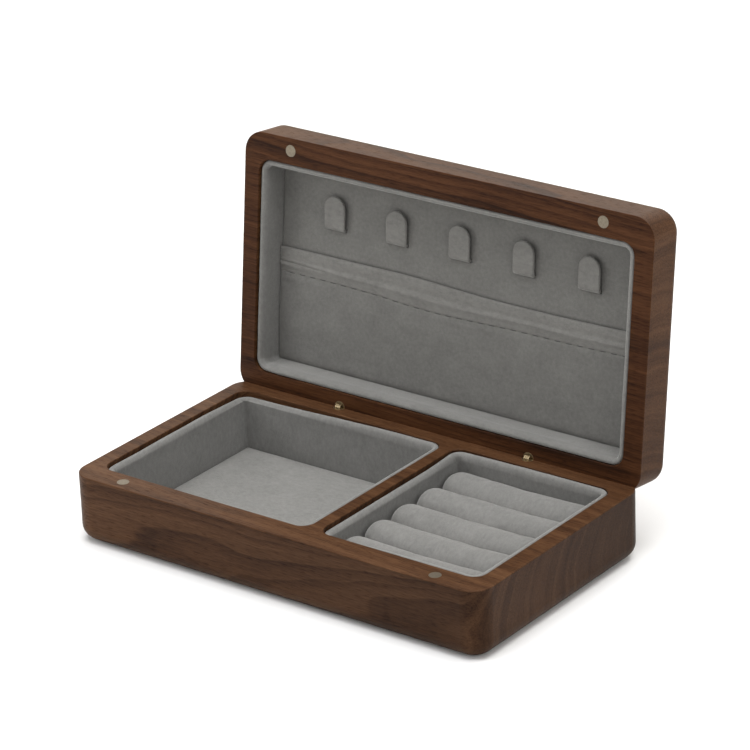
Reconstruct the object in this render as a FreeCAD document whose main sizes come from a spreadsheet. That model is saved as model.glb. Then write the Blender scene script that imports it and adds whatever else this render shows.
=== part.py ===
import FreeCAD, Part
import os
import math
import Sketcher
from FreeCAD import Vector, Placement, Rotation

# Wooden jewellery box with a hinged lid, standing open.
#
# Frame: millimetres, +Z up, X across the width, -Y the front with the magnets,
# +Y the hinged back. The origin is the centre of the flat underside.
# Every lid piece is drawn as it sits on the closed box and then swung back
# about the hinge axis by open_angle, which is how the box stands.

doc = FreeCAD.newDocument("jewellery_box")

# ---------------------------------------------------------------- dimensions
sheet = doc.addObject("Spreadsheet::Sheet", "Params")
sheet.Label = "Params"
PARAMS = [
    # case blocks
    ("case_width", 178.0), ("case_depth", 100.0),
    ("base_height", 26.0), ("lid_height", 17.0),
    ("corner_radius", 8.0), ("base_round", 6.0), ("lid_round", 3.5),
    ("arris", 0.35),
    # hinge line and stop bevels
    ("axis_inset", 3.0), ("rim_gap", 0.2), ("open_angle", 96.7),
    ("bevel_angle", 48.5), ("bevel_reach", 6.0),
    # milled wells in the base
    ("well_left", -82.6), ("rail_left", 9.5), ("rail_right", 14.6),
    ("well_right", 81.8), ("well_front", -40.0), ("well_back", 41.4),
    ("well_floor", 3.0), ("well_radius", 5.0),
    # milled well in the lid
    ("cavity_left", -82.3), ("cavity_right", 81.3),
    ("cavity_front", -40.0), ("cavity_back", 41.4),
    ("cavity_depth", 13.2), ("cavity_radius", 5.0),
    # padded suede linings
    ("lining_gap", 0.12), ("lining_wall", 2.3), ("lining_recess", 0.8),
    ("lining_inner_radius", 2.7), ("lining_round", 1.0),
    ("floor_pad", 1.1), ("floor_clear", 0.15), ("floor_round", 0.4),
    ("panel_board", 1.2),
    # ring rolls
    ("roll_count", 5.0), ("roll_clear", 0.2), ("roll_top", 21.8),
    ("roll_end_round", 3.2), ("roll_end_gap", 0.3),
    # necklace tabs
    ("tab_width", 9.2), ("tab_length", 13.4), ("tab_thick", 1.4),
    ("tab_pitch", 27.9), ("tab_centre", 1.2), ("tab_foot", -15.4),
    ("tab_stand", 1.2), ("tab_root", 1.1), ("tab_round", 0.45),
    # gathered pocket on the lid panel
    ("pouch_top", -5.0), ("hem_height", 10.4), ("hem_thick", 2.0),
    ("pouch_thick", 1.3), ("pouch_gap", 0.1), ("thread_radius", 0.25),
    # magnets
    ("magnet_radius", 2.2), ("magnet_thick", 3.0), ("magnet_span", 68.0),
    ("magnet_front", -45.3), ("press_gap", 0.02),
    # barrel hinges
    ("barrel_radius", 2.3), ("barrel_length", 11.0), ("barrel_span", 42.0),
    ("knuckle_radius", 1.35), ("knuckle_clear", 0.2),
    ("tongue_half", 0.4), ("slot_half", 0.5), ("ear_half", 1.1),
    ("relief_half", 1.2), ("pin_radius", 0.45), ("pin_clear", 0.04),
    ("neck_half", 0.95), ("neck_reach", 2.8),
]
for row, (name, value) in enumerate(PARAMS, start=1):
    sheet.set("A%d" % row, name)
    sheet.set("B%d" % row, repr(value))
    sheet.setAlias("B%d" % row, name)
doc.recompute()


def val(name):
    return float(getattr(sheet, name))


def alias(expression):
    """Turn bare dimension names into references to the sheet."""
    out, word = "", ""
    names = set(n for n, _ in PARAMS)
    for ch in expression + " ":
        if ch.isalnum() or ch == "_":
            word += ch
        else:
            out += ("Params." + word) if word in names else word
            out += ch
            word = ""
    return out.strip()


SCOPE = {"tan": lambda d: math.tan(math.radians(d))}


def number(expression):
    """The same arithmetic as the expression engine: names, + - * / ( ) and tan."""
    text = expression.replace(" ", "")
    pos = [0]

    def peek():
        return text[pos[0]] if pos[0] < len(text) else ""

    def atom():
        c = peek()
        if c == "(":
            pos[0] += 1
            v = total()
            pos[0] += 1
            return v
        if c == "-":
            pos[0] += 1
            return -atom()
        start = pos[0]
        while peek() and (peek().isalnum() or peek() in "_."):
            pos[0] += 1
        word = text[start:pos[0]]
        if word in SCOPE:
            return SCOPE[word](atom())
        if word[0].isdigit():
            return float(word)
        return val(word)

    def product():
        v = atom()
        while peek() and peek() in "*/":
            op = peek()
            pos[0] += 1
            w = atom()
            v = v * w if op == "*" else v / w
        return v

    def total():
        v = product()
        while peek() and peek() in "+-":
            op = peek()
            pos[0] += 1
            w = product()
            v = v + w if op == "+" else v - w
        return v

    return total()


def engine(expression):
    """Expression text for the document: sheet references, tan in degrees."""
    return alias(expression).replace("tan(", "tan(1 deg * ")


# ------------------------------------------------------------------- helpers
def plane(body, role):
    return [f for f in body.Origin.OriginFeatures if f.Role == role][0]


def new_body(label):
    body = doc.addObject("PartDesign::Body", label)
    body.Label = label
    return body


def new_sketch(body, name, role, height=None):
    sk = body.newObject("Sketcher::SketchObject", name)
    sk.AttachmentSupport = [(plane(body, role), "")]
    sk.MapMode = "FlatFace"
    if height is not None:
        sk.AttachmentOffset = Placement(Vector(0, 0, number(height)), Rotation())
        sk.setExpression("AttachmentOffset.Base.z", engine(height))
    return sk


def bind(sk, kind, args, expression, name):
    """Add a driving constraint and tie it to the sheet."""
    index = sk.addConstraint(Sketcher.Constraint(kind, *args, number(expression)))
    sk.renameConstraint(index, name)
    sk.setExpression("Constraints." + name, engine(expression))


def rounded_rect(sk, tag, left, right, low, high, radius):
    x0, x1, y0, y1, r = [number(e) for e in (left, right, low, high, radius)]
    L = Part.LineSegment
    P = lambda x, y: Vector(x, y, 0)

    def arc(cx, cy, a0, a1):
        circle = Part.Circle(P(cx, cy), Vector(0, 0, 1), r)
        return Part.ArcOfCircle(circle, math.radians(a0), math.radians(a1))

    g = sk.addGeometry([
        L(P(x0 + r, y0), P(x1 - r, y0)),          # front
        arc(x1 - r, y0 + r, 270, 360),
        L(P(x1, y0 + r), P(x1, y1 - r)),          # right
        arc(x1 - r, y1 - r, 0, 90),
        L(P(x1 - r, y1), P(x0 + r, y1)),          # back
        arc(x0 + r, y1 - r, 90, 180),
        L(P(x0, y1 - r), P(x0, y0 + r)),          # left
        arc(x0 + r, y0 + r, 180, 270)], False)
    C = Sketcher.Constraint
    cons = []
    for i in range(8):
        cons.append(C("Tangent", g[i], 2, g[(i + 1) % 8], 1))
    cons += [C("Horizontal", g[0]), C("Horizontal", g[4]),
             C("Vertical", g[2]), C("Vertical", g[6])]
    cons += [C("Equal", g[1], g[3]), C("Equal", g[1], g[5]), C("Equal", g[1], g[7])]
    sk.addConstraint(cons)
    bind(sk, "Radius", (g[1],), radius, tag + "_radius")
    bind(sk, "DistanceX", (-1, 1, g[6], 1), left, tag + "_left")
    bind(sk, "DistanceX", (-1, 1, g[2], 1), right, tag + "_right")
    bind(sk, "DistanceY", (-1, 1, g[0], 1), low, tag + "_low")
    bind(sk, "DistanceY", (-1, 1, g[4], 1), high, tag + "_high")


def circle(sk, tag, cx, cy, radius):
    g = sk.addGeometry(Part.Circle(Vector(number(cx), number(cy), 0),
                                   Vector(0, 0, 1), number(radius)), False)
    bind(sk, "Radius", (g,), radius, tag + "_radius")
    bind(sk, "DistanceX", (-1, 1, g, 3), cx, tag + "_x")
    bind(sk, "DistanceY", (-1, 1, g, 3), cy, tag + "_y")


def polygon(sk, tag, points):
    """Closed outline; every corner is tied to the sheet."""
    xy = [Vector(number(a), number(b), 0) for a, b in points]
    n = len(xy)
    g = [sk.addGeometry(Part.LineSegment(xy[i], xy[(i + 1) % n]), False) for i in range(n)]
    for i in range(n):
        sk.addConstraint(Sketcher.Constraint("Coincident", g[i], 2, g[(i + 1) % n], 1))
    for i, (a, b) in enumerate(points):
        bind(sk, "DistanceX", (-1, 1, g[i], 1), a, "%s_x%d" % (tag, i))
        bind(sk, "DistanceY", (-1, 1, g[i], 1), b, "%s_y%d" % (tag, i))


def pad(body, sk, length, name="Pad", midplane=False, reverse=False):
    f = body.newObject("PartDesign::Pad", name)
    f.Profile = sk
    f.Length = number(length)
    f.setExpression("Length", engine(length))
    if midplane:
        f.SideType = "Symmetric"
    f.Reversed = reverse
    sk.Visibility = False
    doc.recompute()
    return f


def pocket(body, sk, length=None, name="Pocket", midplane=False, reverse=False):
    before = body.Shape.Volume
    f = body.newObject("PartDesign::Pocket", name)
    f.Profile = sk
    if length is None:
        f.Type = "ThroughAll"
    else:
        f.Length = number(length)
        f.setExpression("Length", engine(length))
    if midplane:
        f.SideType = "Symmetric"
    f.Reversed = reverse
    doc.recompute()
    if not body.Shape.Volume < before - 1e-3:
        raise RuntimeError("%s in %s removed nothing" % (name, body.Label))
    return f


def edges_where(shape, test):
    names = []
    for i, e in enumerate(shape.Edges, start=1):
        if test(e):
            names.append("Edge%d" % i)
    return names


def fillet(body, feature, test, radius, name="Fillet"):
    names = edges_where(feature.Shape, test)
    if not names:
        raise RuntimeError("no edges for %s in %s" % (name, body.Label))
    f = body.newObject("PartDesign::Fillet", name)
    f.Base = (feature, names)
    f.Radius = number(radius)
    f.setExpression("Radius", engine(radius))
    doc.recompute()
    return f


def flat_at(z, tol=1e-4):
    def test(e):
        b = e.BoundBox
        return abs(b.ZMin - z) < tol and abs(b.ZMax - z) < tol
    return test


def mid(e):
    return e.valueAt((e.FirstParameter + e.LastParameter) / 2.0)


half_w = "case_width / 2"
half_d = "case_depth / 2"
AXIS_Y = "case_depth / 2 - axis_inset"
AXIS_Z = "base_height + rim_gap / 2"
LID_Z = "base_height + rim_gap"
kept = []

# ------------------------------------------------------------------ base case
# Solid block with rounded corners, two milled wells, a stop bevel along the
# back top edge, two magnet bores in the front rail and two hinge bores.
body = new_body("base_case")
sk = new_sketch(body, "outline", "XY_Plane")
rounded_rect(sk, "case", "-(case_width / 2)", half_w, "-(case_depth / 2)", half_d, "corner_radius")
f = pad(body, sk, "base_height", "block")
f = fillet(body, f, flat_at(0.0), "base_round", "bottom_round")

sk = new_sketch(body, "wells", "XY_Plane", "base_height")
rounded_rect(sk, "tray", "well_left", "rail_left", "well_front", "well_back", "well_radius")
rounded_rect(sk, "rings", "rail_right", "well_right", "well_front", "well_back", "well_radius")
f = pocket(body, sk, "base_height - well_floor", "milled_wells")
f = fillet(body, f, flat_at(val("base_height")), "arris", "eased_edges")

sk = new_sketch(body, "bevel_outline", "YZ_Plane")
polygon(sk, "bevel", [(AXIS_Y, AXIS_Z), (AXIS_Y + " + bevel_reach", AXIS_Z),
                      (AXIS_Y + " + bevel_reach", AXIS_Z + " - bevel_reach * tan(bevel_angle)")])
f = pocket(body, sk, "case_width + 20", "stop_bevel", midplane=True)

sk = new_sketch(body, "magnet_bores", "XY_Plane", "base_height")
for s, tag in (("-", "left"), ("", "right")):
    circle(sk, tag, s + "magnet_span", "magnet_front", "magnet_radius + press_gap")
f = pocket(body, sk, "magnet_thick", "magnet_bores_cut")

sk = new_sketch(body, "hinge_bores", "XY_Plane", "base_height")
for s, tag in (("-", "left"), ("", "right")):
    circle(sk, tag, s + "barrel_span", AXIS_Y, "barrel_radius + press_gap")
f = pocket(body, sk, "barrel_length", "hinge_bores_cut")
kept.append(body)

# ------------------------------------------------------------- tray linings
# A padded suede-covered wall strip runs round each well, with a rounded lip
# just below the wood, and a padded board lies on the floor inside it.
def lining(label, left, right, front, back, low, high, lip_up):
    b = new_body(label)
    s = new_sketch(b, "ring", "XY_Plane", low)
    rounded_rect(s, "outer", left + " + lining_gap", right + " - lining_gap",
                 front + " + lining_gap", back + " - lining_gap", "well_radius - lining_gap")
    rounded_rect(s, "inner", left + " + lining_wall", right + " - lining_wall",
                 front + " + lining_wall", back + " - lining_wall", "lining_inner_radius")
    p = pad(b, s, "(" + high + ") - (" + low + ")", "wall")
    z = number(high) if lip_up else number(low)
    fillet(b, p, flat_at(z), "lining_round", "lip")
    kept.append(b)
    return b


def floor_board(label, left, right, front, back, low, thick, up=True):
    b = new_body(label)
    s = new_sketch(b, "board", "XY_Plane", low)
    rounded_rect(s, "edge", left + " + lining_wall + floor_clear", right + " - lining_wall - floor_clear",
                 front + " + lining_wall + floor_clear", back + " - lining_wall - floor_clear",
                 "lining_inner_radius")
    p = pad(b, s, thick, "board_pad")
    z = number(low) + (number(thick) if up else 0.0)
    fillet(b, p, flat_at(z), "floor_round", "edge_round")
    kept.append(b)
    return b


lining("left_tray_liner", "well_left", "rail_left", "well_front", "well_back",
       "well_floor", "base_height - lining_recess", True)
floor_board("left_tray_floor", "well_left", "rail_left", "well_front", "well_back",
            "well_floor", "floor_pad")
lining("right_tray_liner", "rail_right", "well_right", "well_front", "well_back",
       "well_floor", "base_height - lining_recess", True)
floor_board("right_tray_floor", "rail_right", "well_right", "well_front", "well_back",
            "well_floor", "floor_pad")

# ----------------------------------------------------------------- ring rolls
# Five foam rolls with domed tops lie side by side across the right well.
ROLL_PITCH = "((well_back - well_front - 2 * lining_wall) / roll_count)"
ROLL_LOW = "well_floor + floor_pad + 0.05"
ROLL_RAD = "(" + ROLL_PITCH + " - roll_clear) / 2"
for k in range(5):
    b = new_body("ring_roll_%d" % (k + 1))
    centre = "(well_front + lining_wall + %s * %s)" % (repr(k + 0.5), ROLL_PITCH)
    s = new_sketch(b, "section", "YZ_Plane", "rail_right + lining_wall + roll_end_gap")
    cy, r = number(centre), number(ROLL_RAD)
    z0, z1 = number(ROLL_LOW), number("roll_top - " + ROLL_RAD)
    g0 = s.addGeometry(Part.LineSegment(Vector(cy - r, z0, 0), Vector(cy + r, z0, 0)), False)
    g1 = s.addGeometry(Part.LineSegment(Vector(cy + r, z0, 0), Vector(cy + r, z1, 0)), False)
    g2 = s.addGeometry(Part.ArcOfCircle(Part.Circle(Vector(cy, z1, 0), Vector(0, 0, 1), r),
                                        0.0, math.pi), False)
    g3 = s.addGeometry(Part.LineSegment(Vector(cy - r, z1, 0), Vector(cy - r, z0, 0)), False)
    C = Sketcher.Constraint
    s.addConstraint([C("Coincident", g0, 2, g1, 1), C("Tangent", g1, 2, g2, 1),
                     C("Tangent", g2, 2, g3, 1), C("Coincident", g3, 2, g0, 1),
                     C("Horizontal", g0), C("Vertical", g1), C("Vertical", g3)])
    bind(s, "Radius", (g2,), ROLL_RAD, "roll_radius")
    bind(s, "DistanceX", (-1, 1, g2, 3), centre, "roll_y")
    bind(s, "DistanceY", (-1, 1, g2, 3), "roll_top - " + ROLL_RAD, "roll_z")
    bind(s, "DistanceY", (-1, 1, g0, 1), ROLL_LOW, "roll_low")
    p = pad(b, s, "well_right - rail_right - 2 * lining_wall - 2 * roll_end_gap", "roll")
    xs = (p.Shape.BoundBox.XMin, p.Shape.BoundBox.XMax)

    def end_edge(e, xs=xs, z0=z0):
        bb = e.BoundBox
        flat = min(abs(bb.XMin - xs[0]) + abs(bb.XMax - xs[0]),
                   abs(bb.XMin - xs[1]) + abs(bb.XMax - xs[1])) < 1e-3
        return flat and bb.ZMax > z0 + 1.0
    fillet(b, p, end_edge, "roll_end_round", "end_round")
    kept.append(b)

# -------------------------------------------------------------------- magnets
def magnet(label, sign, low):
    b = new_body(label)
    s = new_sketch(b, "disc", "XY_Plane", low)
    circle(s, "disc", sign + "magnet_span", "magnet_front", "magnet_radius")
    pad(b, s, "magnet_thick", "magnet")
    kept.append(b)
    return b


magnet("base_magnet_left", "-", "base_height - magnet_thick")
magnet("base_magnet_right", "", "base_height - magnet_thick")

# --------------------------------------------------------------- barrel hinges
# Each hinge is a pair of brass barrels pressed into facing bores. The base
# barrel ends in two ears, the lid barrel in one tongue between them, and a
# pin through all three lies on the hinge axis in the plane between the rims.
lid_nodes = []


def along_x(expression):
    return expression


for sign, side in (("-", "left"), ("", "right")):
    X0 = sign + "barrel_span"
    b = new_body("hinge_%s_base_barrel" % side)
    s = new_sketch(b, "barrel_circle", "XY_Plane", "base_height - barrel_length")
    circle(s, "barrel", X0, AXIS_Y, "barrel_radius")
    pad(b, s, "barrel_length", "barrel")
    s = new_sketch(b, "bevel_outline", "YZ_Plane", X0)
    polygon(s, "bevel", [(AXIS_Y, AXIS_Z), (AXIS_Y + " + bevel_reach", AXIS_Z),
                         (AXIS_Y + " + bevel_reach", AXIS_Z + " - bevel_reach * tan(bevel_angle)")])
    pocket(b, s, "4 * barrel_radius", "bevel", midplane=True)
    s = new_sketch(b, "ear_disc", "YZ_Plane", X0)
    circle(s, "ear", AXIS_Y, AXIS_Z, "knuckle_radius")
    pad(b, s, "2 * ear_half", "ears", midplane=True)
    s = new_sketch(b, "tongue_slot", "YZ_Plane", X0)
    circle(s, "slot", AXIS_Y, AXIS_Z, "knuckle_radius + knuckle_clear")
    pocket(b, s, "2 * slot_half", "slot", midplane=True)
    s = new_sketch(b, "pin_hole", "YZ_Plane", X0)
    circle(s, "hole", AXIS_Y, AXIS_Z, "pin_radius")
    pocket(b, s, "4 * barrel_radius", "hole", midplane=True)
    kept.append(b)

    b = new_body("hinge_%s_pin" % side)
    s = new_sketch(b, "pin_circle", "YZ_Plane", X0)
    circle(s, "pin", AXIS_Y, AXIS_Z, "pin_radius")
    pad(b, s, "2 * ear_half", "pin", midplane=True)
    kept.append(b)

# ------------------------------------------------------------------- lid case
body = new_body("lid_case")
sk = new_sketch(body, "outline", "XY_Plane", LID_Z)
rounded_rect(sk, "case", "-(case_width / 2)", half_w, "-(case_depth / 2)", half_d, "corner_radius")
f = pad(body, sk, "lid_height", "block")
f = fillet(body, f, flat_at(number(LID_Z) + val("lid_height")), "lid_round", "top_round")

sk = new_sketch(body, "cavity_outline", "XY_Plane", LID_Z)
rounded_rect(sk, "cavity", "cavity_left", "cavity_right", "cavity_front", "cavity_back", "cavity_radius")
f = pocket(body, sk, "cavity_depth", "milled_cavity", reverse=True)
f = fillet(body, f, flat_at(number(LID_Z)), "arris", "eased_edges")

sk = new_sketch(body, "bevel_outline", "YZ_Plane")
polygon(sk, "bevel", [(AXIS_Y, AXIS_Z), (AXIS_Y + " + bevel_reach", AXIS_Z + " + bevel_reach * tan(bevel_angle)"),
                      (AXIS_Y + " + bevel_reach", AXIS_Z)])
f = pocket(body, sk, "case_width + 20", "stop_bevel", midplane=True)

sk = new_sketch(body, "magnet_bores", "XY_Plane", LID_Z)
for s_, tag in (("-", "left"), ("", "right")):
    circle(sk, tag, s_ + "magnet_span", "magnet_front", "magnet_radius + press_gap")
f = pocket(body, sk, "magnet_thick", "magnet_bores_cut", reverse=True)

sk = new_sketch(body, "hinge_bores", "XY_Plane", LID_Z)
for s_, tag in (("-", "left"), ("", "right")):
    circle(sk, tag, s_ + "barrel_span", AXIS_Y, "barrel_radius + press_gap")
f = pocket(body, sk, "barrel_length", "hinge_bores_cut", reverse=True)
kept.append(body)
lid_nodes.append(body)

lid_nodes.append(magnet("lid_magnet_left", "-", LID_Z))
lid_nodes.append(magnet("lid_magnet_right", "", LID_Z))

for sign, side in (("-", "left"), ("", "right")):
    X0 = sign + "barrel_span"
    b = new_body("hinge_%s_lid_barrel" % side)
    s = new_sketch(b, "barrel_circle", "XY_Plane", LID_Z)
    circle(s, "barrel", X0, AXIS_Y, "barrel_radius")
    pad(b, s, "barrel_length", "barrel")
    s = new_sketch(b, "bevel_outline", "YZ_Plane", X0)
    polygon(s, "bevel", [(AXIS_Y, AXIS_Z), (AXIS_Y + " + bevel_reach", AXIS_Z + " + bevel_reach * tan(bevel_angle)"),
                         (AXIS_Y + " + bevel_reach", AXIS_Z)])
    pocket(b, s, "4 * barrel_radius", "bevel", midplane=True)
    s = new_sketch(b, "ear_relief", "YZ_Plane", X0)
    circle(s, "relief", AXIS_Y, AXIS_Z, "knuckle_radius + knuckle_clear")
    pocket(b, s, "2 * relief_half", "relief", midplane=True)
    # the tongue: a neck out of the barrel and a round knuckle on the axis
    s = new_sketch(b, "neck", "YZ_Plane", X0)
    polygon(s, "neck", [(AXIS_Y + " - neck_half", AXIS_Z), (AXIS_Y + " + neck_half", AXIS_Z),
                        (AXIS_Y + " + neck_half", AXIS_Z + " + neck_reach"),
                        (AXIS_Y + " - neck_half", AXIS_Z + " + neck_reach")])
    pad(b, s, "2 * tongue_half", "neck", midplane=True)
    s = new_sketch(b, "tongue_disc", "YZ_Plane", X0)
    circle(s, "tongue", AXIS_Y, AXIS_Z, "knuckle_radius")
    pad(b, s, "2 * tongue_half", "tongue", midplane=True)
    s = new_sketch(b, "pin_hole", "YZ_Plane", X0)
    circle(s, "hole", AXIS_Y, AXIS_Z, "pin_radius + pin_clear")
    pocket(b, s, "4 * barrel_radius", "hole", midplane=True)
    kept.append(b)
    lid_nodes.append(b)

# ------------------------------------------------------------------ lid lining
lid_nodes.append(lining("lid_liner", "cavity_left", "cavity_right", "cavity_front", "cavity_back",
                        LID_Z + " + lining_recess", LID_Z + " + cavity_depth", False))

# Padded board on the bottom of the lid cavity, with five slits for the tabs.
PANEL_LOW = LID_Z + " + cavity_depth - panel_board"
b = new_body("lid_panel")
s = new_sketch(b, "board", "XY_Plane", PANEL_LOW)
rounded_rect(s, "edge", "cavity_left + lining_wall + floor_clear", "cavity_right - lining_wall - floor_clear",
             "cavity_front + lining_wall + floor_clear", "cavity_back - lining_wall - floor_clear",
             "lining_inner_radius")
p = pad(b, s, "panel_board", "board_pad")
s = new_sketch(b, "slits", "XY_Plane", PANEL_LOW)
for k in range(5):
    cx = "(tab_centre + %s * tab_pitch)" % ("(" + repr(float(k - 2)) + ")")
    polygon(s, "slit%d" % (k + 1), [
        (cx + " - tab_width / 2 - 0.1", "tab_foot - tab_thick - 0.1"),
        (cx + " + tab_width / 2 + 0.1", "tab_foot - tab_thick - 0.1"),
        (cx + " + tab_width / 2 + 0.1", "tab_foot + 0.1"),
        (cx + " - tab_width / 2 - 0.1", "tab_foot + 0.1")])
pocket(b, s, "panel_board", "slits_cut", reverse=True)
kept.append(b)
lid_nodes.append(b)

# Necklace tabs: an arch-topped leaf that stands off the panel, rooted in a slit.
TAB_LOW = PANEL_LOW + " - tab_stand - tab_thick"
for k in range(5):
    cx = "(tab_centre + %s * tab_pitch)" % ("(" + repr(float(k - 2)) + ")")
    b = new_body("necklace_tab_%d" % (k + 1))
    s = new_sketch(b, "leaf", "XY_Plane", TAB_LOW)
    x0, r = number(cx), val("tab_width") / 2
    yf, yt = val("tab_foot"), val("tab_foot") - val("tab_length") + r
    g0 = s.addGeometry(Part.LineSegment(Vector(x0 - r, yf, 0), Vector(x0 - r, yt, 0)), False)
    g1 = s.addGeometry(Part.ArcOfCircle(Part.Circle(Vector(x0, yt, 0), Vector(0, 0, 1), r),
                                        math.pi, 2 * math.pi), False)
    g2 = s.addGeometry(Part.LineSegment(Vector(x0 + r, yt, 0), Vector(x0 + r, yf, 0)), False)
    g3 = s.addGeometry(Part.LineSegment(Vector(x0 + r, yf, 0), Vector(x0 - r, yf, 0)), False)
    C = Sketcher.Constraint
    s.addConstraint([C("Tangent", g0, 2, g1, 1), C("Tangent", g1, 2, g2, 1),
                     C("Coincident", g2, 2, g3, 1), C("Coincident", g3, 2, g0, 1),
                     C("Vertical", g0), C("Vertical", g2), C("Horizontal", g3)])
    bind(s, "Radius", (g1,), "tab_width / 2", "arch_radius")
    bind(s, "DistanceX", (-1, 1, g1, 3), cx, "arch_x")
    bind(s, "DistanceY", (-1, 1, g1, 3), "tab_foot - tab_length + tab_width / 2", "arch_y")
    bind(s, "DistanceY", (-1, 1, g3, 1), "tab_foot", "foot_y")
    p = pad(b, s, "tab_thick", "leaf")
    fillet(b, p, flat_at(number(TAB_LOW)), "tab_round", "soft_edge")
    s = new_sketch(b, "root", "XY_Plane", TAB_LOW + " + tab_thick")
    polygon(s, "root", [(cx + " - tab_width / 2", "tab_foot - tab_thick"),
                        (cx + " + tab_width / 2", "tab_foot - tab_thick"),
                        (cx + " + tab_width / 2", "tab_foot"),
                        (cx + " - tab_width / 2", "tab_foot")])
    pad(b, s, "tab_stand + tab_root", "root")
    kept.append(b)
    lid_nodes.append(b)

# Slip pocket on the lower half of the panel: a flat bag, a folded hem along
# its mouth and the seam thread below the hem.
POUCH_LOW = PANEL_LOW + " - pouch_gap - pouch_thick"
X_IN0 = "cavity_left + lining_wall + 0.3"
X_IN1 = "cavity_right - lining_wall - 0.3"
b = new_body("pocket_panel")
s = new_sketch(b, "bag", "XY_Plane", POUCH_LOW)
rounded_rect(s, "bag", X_IN0, X_IN1, "pouch_top + hem_height + 0.1", "cavity_back - lining_wall - 0.3", "1.2")
p = pad(b, s, "pouch_thick", "bag")
fillet(b, p, flat_at(number(POUCH_LOW)), "floor_round", "soft_edge")
kept.append(b)
lid_nodes.append(b)

b = new_body("pocket_hem")
s = new_sketch(b, "hem", "XY_Plane", PANEL_LOW + " - pouch_gap - hem_thick")
rounded_rect(s, "hem", X_IN0, X_IN1, "pouch_top", "pouch_top + hem_height", "0.9")
p = pad(b, s, "hem_thick", "hem")
fillet(b, p, flat_at(number(PANEL_LOW + " - pouch_gap - hem_thick")), "floor_round", "soft_edge")
kept.append(b)
lid_nodes.append(b)

b = new_body("pocket_stitching")
s = new_sketch(b, "thread", "YZ_Plane", X_IN0 + " + 1.5")
circle(s, "thread", "pouch_top + hem_height - 0.6",
       PANEL_LOW + " - pouch_gap - hem_thick - thread_radius", "thread_radius")
pad(b, s, "cavity_right - cavity_left - 2 * lining_wall - 3.6", "thread")
kept.append(b)
lid_nodes.append(b)

# ------------------------------------------------------- swing the lid open
axis_point = Vector(0, number(AXIS_Y), number(AXIS_Z))
swing = Placement(Vector(0, 0, 0), Rotation(Vector(1, 0, 0), -val("open_angle")), axis_point)
for b in lid_nodes:
    b.Placement = swing
doc.recompute()

# ------------------------------------------------------------------- checking
for obj in doc.Objects:
    bad = [st for st in obj.State if st in ("Invalid", "Error")]
    if bad:
        raise RuntimeError("%s (%s): %s" % (obj.Name, obj.Label, bad))
labels = [b.Label for b in kept]
if len(set(labels)) != len(labels):
    raise RuntimeError("two sub-parts share a name")
for b in kept:
    if b.Shape.isNull() or not b.Shape.isValid():
        raise RuntimeError("bad shape: " + b.Label)
    if len(b.Shape.Solids) != 1:
        raise RuntimeError("%s has %d solids" % (b.Label, len(b.Shape.Solids)))

os.makedirs("parts", exist_ok=True)
for b in kept:
    b.Shape.exportStep(os.path.join("parts", b.Label + ".step"))
    bb = b.Shape.BoundBox
    print("%-26s vol %10.2f  x %7.2f..%7.2f  y %7.2f..%7.2f  z %7.2f..%7.2f" % (
        b.Label, b.Shape.Volume, bb.XMin, bb.XMax, bb.YMin, bb.YMax, bb.ZMin, bb.ZMax))
print(len(kept), "sub-parts written")
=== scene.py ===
import bpy
import bmesh
import math
import numpy as np
from mathutils import Vector, Matrix, Euler, noise


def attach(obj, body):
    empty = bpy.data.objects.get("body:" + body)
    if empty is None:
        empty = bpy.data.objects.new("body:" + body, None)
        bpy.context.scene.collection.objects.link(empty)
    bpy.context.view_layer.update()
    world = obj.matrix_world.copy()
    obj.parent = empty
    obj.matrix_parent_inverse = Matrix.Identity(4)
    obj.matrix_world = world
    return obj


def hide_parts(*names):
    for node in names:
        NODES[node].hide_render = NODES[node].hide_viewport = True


# Walnut jewellery box, standing open. The wood, magnets and hinges are the CAD
# nodes with better materials; every padded or sewn piece is a mesh of its own.
# Sizes below are in millimetres and turned into metres by piece().

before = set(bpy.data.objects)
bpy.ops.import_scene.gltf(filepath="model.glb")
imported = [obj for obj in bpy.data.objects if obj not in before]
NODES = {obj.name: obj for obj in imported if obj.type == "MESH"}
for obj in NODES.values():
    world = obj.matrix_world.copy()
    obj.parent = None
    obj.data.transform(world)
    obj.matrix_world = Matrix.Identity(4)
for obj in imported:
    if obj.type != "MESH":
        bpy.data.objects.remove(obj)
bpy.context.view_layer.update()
MM = 0.001

OPEN = math.radians(-96.7)
AXIS_Y, AXIS_Z = 47.0, 26.1

# wells, as in the CAD model
LEFT_WELL = (-82.6, 9.5, -40.0, 41.4)
RIGHT_WELL = (14.6, 81.8, -40.0, 41.4)
LID_WELL = (-82.3, 81.3, -40.0, 41.4)
LIP_Z = 25.2          # top of the tray linings
LID_LIP_Z = 27.0      # the same in the closed lid, where the lip looks down
LID_FACE_Z = 38.2     # face of the lid panel, lid closed
TAB_X = [1.2 + 27.9 * k for k in (-2, -1, 0, 1, 2)]
TAB_FOOT = -15.4

WORLD_LOW, WORLD_BACK = 0.03, 1.5


# ------------------------------------------------------------------ camera
def make_camera():
    az, el, roll = math.radians(37.5894), math.radians(23.5164), math.radians(-2.2497)
    dist = 1.3370699
    target = Vector((-0.0031383, 0.018615, 0.0585294))
    back = Vector((math.sin(az) * math.cos(el), -math.cos(az) * math.cos(el), math.sin(el)))
    right = Vector((0, 0, 1)).cross(back).normalized()
    up = back.cross(right).normalized()
    r2 = right * math.cos(roll) + up * math.sin(roll)
    u2 = -right * math.sin(roll) + up * math.cos(roll)
    cam = bpy.data.cameras.new("camera")
    cam.sensor_width = 36.0
    cam.lens = 182.11
    cam.clip_start, cam.clip_end = 0.05, 60.0
    ob = bpy.data.objects.new("camera", cam)
    m = Matrix((r2, u2, back)).transposed().to_4x4()
    m.translation = target + back * dist
    ob.matrix_world = m
    bpy.context.scene.collection.objects.link(ob)
    bpy.context.scene.camera = ob


make_camera()


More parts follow.
